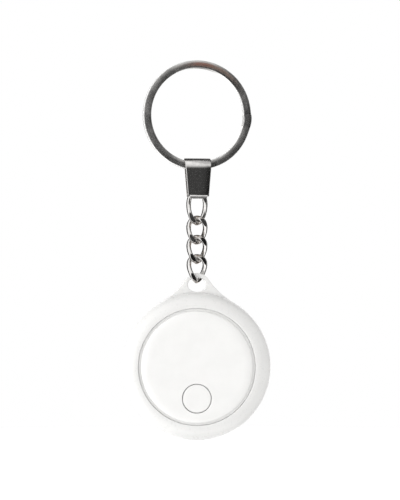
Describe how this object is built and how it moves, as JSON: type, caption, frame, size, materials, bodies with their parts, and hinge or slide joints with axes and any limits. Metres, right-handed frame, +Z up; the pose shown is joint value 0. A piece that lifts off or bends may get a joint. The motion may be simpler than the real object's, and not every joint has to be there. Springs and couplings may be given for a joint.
{
  "type": "bluetooth tracker tag",
  "caption": "Round flat white tracker tag with a press button, hanging by a short curb chain from a split key ring.",
  "frame": {"origin": "top of the split ring's inner side, where a hook or a key ring would carry it", "axes": "+Z up along the hanging chain, -Y out of the tag's face, +X to the right seen from the front"},
  "size_m": [0.038, 0.0086, 0.0978],
  "materials": {
    "ring_steel": "dark nickel, lightly brushed",
    "bail_steel": "dark polished nickel",
    "chain_steel": "polished nickel with flattened faces",
    "white_case": "white, smooth satin gloss",
    "white_cover": "white, smooth satin gloss",
    "seal_rubber": "black silicone",
    "board_green": "green solder mask",
    "chip_black": "moulded black",
    "cell_steel": "nickel-plated steel",
    "ceramic": "fired ceramic",
    "clear_lens": "clear resin",
    "foam": "closed-cell foam",
    "brass": "rolled brass",
    "lead_red": "insulated wire",
    "lead_black": "insulated wire",
    "contact_gold": "gold-plated spring bronze",
    "screw_steel": "zinc-plated steel"
  },
  "bodies": {
    "ring": {"split_ring": "ring_steel"},
    "bail": {"bail": "bail_steel"},
    "link_1": {"chain_link_1": "chain_steel"},
    "link_2": {"chain_link_2": "chain_steel"},
    "link_3": {"chain_link_3": "chain_steel"},
    "link_4": {"chain_link_4": "chain_steel"},
    "tag": {"rear_case": "white_case", "front_case": "white_case", "face_cover": "white_cover", "circuit_board": "board_green", "radio_chip": "chip_black", "crystal_main": "cell_steel", "crystal_clock": "cell_steel", "chip_antenna": "ceramic", "indicator_led": "clear_lens", "capacitor_1": "ceramic", "capacitor_2": "ceramic", "capacitor_3": "ceramic", "capacitor_4": "ceramic", "switch_body": "chip_black", "sounder_foam": "foam", "sounder_disc": "brass", "sounder_ceramic": "ceramic", "sounder_lead_1": "lead_red", "sounder_lead_2": "lead_black", "cell_can": "cell_steel", "cell_gasket": "seal_rubber", "cell_cap": "cell_steel", "contact_minus": "contact_gold", "contact_plus": "contact_gold", "case_screw_1": "screw_steel", "case_screw_2": "screw_steel", "case_screw_3": "screw_steel"},
    "button": {"button_cap": "white_cover"},
    "plunger": {"switch_plunger": "seal_rubber"},
    "door": {"battery_door": "white_case", "door_seal": "seal_rubber"}
  },
  "joints": [
    {"name": "bail_swing", "type": "hinge", "parent": "ring", "child": "bail", "pos_m": [0, 0, -0.0253], "axis": [0.9781, 0.2079, 0], "range_deg": [-75, 75]},
    {"name": "link_1_swing", "type": "hinge", "parent": "bail", "child": "link_1", "pos_m": [0, 0, -0.0331], "axis": [-0.2079, 0.9781, 0], "range_deg": [-45, 45]},
    {"name": "link_2_swing", "type": "hinge", "parent": "link_1", "child": "link_2", "pos_m": [0, 0, -0.03883], "axis": [-0.8977, 0.4407, 0], "range_deg": [-40, 40]},
    {"name": "link_3_swing", "type": "hinge", "parent": "link_2", "child": "link_3", "pos_m": [0, 0, -0.04517], "axis": [-0.5571, -0.8305, 0], "range_deg": [-30, 30]},
    {"name": "link_4_swing", "type": "hinge", "parent": "link_3", "child": "link_4", "pos_m": [0, 0, -0.04879], "axis": [0.9738, -0.2274, 0], "range_deg": [-25, 25]},
    {"name": "tag_swing", "type": "hinge", "parent": "link_4", "child": "tag", "pos_m": [0, 0, -0.05366], "axis": [-1, 0, 0], "range_deg": [-60, 60]},
    {"name": "button_press", "type": "slide", "parent": "tag", "child": "button", "axis": [0, 1, 0], "range_m": [0, 0.00025], "stiffness_N_per_m": 400},
    {"name": "plunger_press", "type": "slide", "parent": "tag", "child": "plunger", "axis": [0, 1, 0], "range_m": [0, 0.00025]},
    {"name": "door_twist", "type": "hinge", "parent": "tag", "child": "door", "pos_m": [0, 0, -0.07713], "axis": [0, 1, 0], "range_deg": [0, 30]}
  ],
  "couplings": [
    {"joint": "plunger_press", "follows": "button_press", "ratio": 1}
  ]
}
